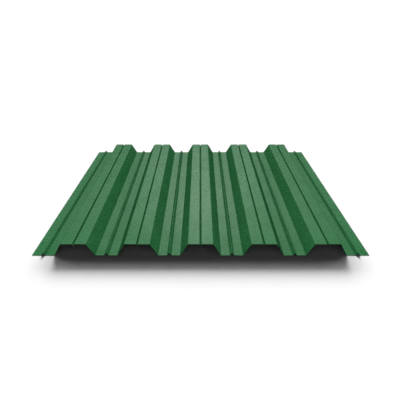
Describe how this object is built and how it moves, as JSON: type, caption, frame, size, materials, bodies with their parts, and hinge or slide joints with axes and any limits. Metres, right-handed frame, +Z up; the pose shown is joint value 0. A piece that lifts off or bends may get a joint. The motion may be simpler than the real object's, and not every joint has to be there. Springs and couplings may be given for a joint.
{
  "type": "box profile roofing sheet",
  "caption": "Flat-lying sheet of green coated steel, roll-formed into wide trapezoidal ribs with stiffening grooves and ridges.",
  "frame": {"origin": "middle of the sheet's footprint, on the level that the undersides of its troughs rest on", "axes": "+X across the ribs, +Y along the ribs, +Z up out of the weather face"},
  "size_m": [1.074, 0.9, 0.044],
  "materials": {
    "coated_steel": "satin"
  },
  "bodies": {
    "root": {"profiled_sheet": "coated_steel"}
  },
  "joints": []
}
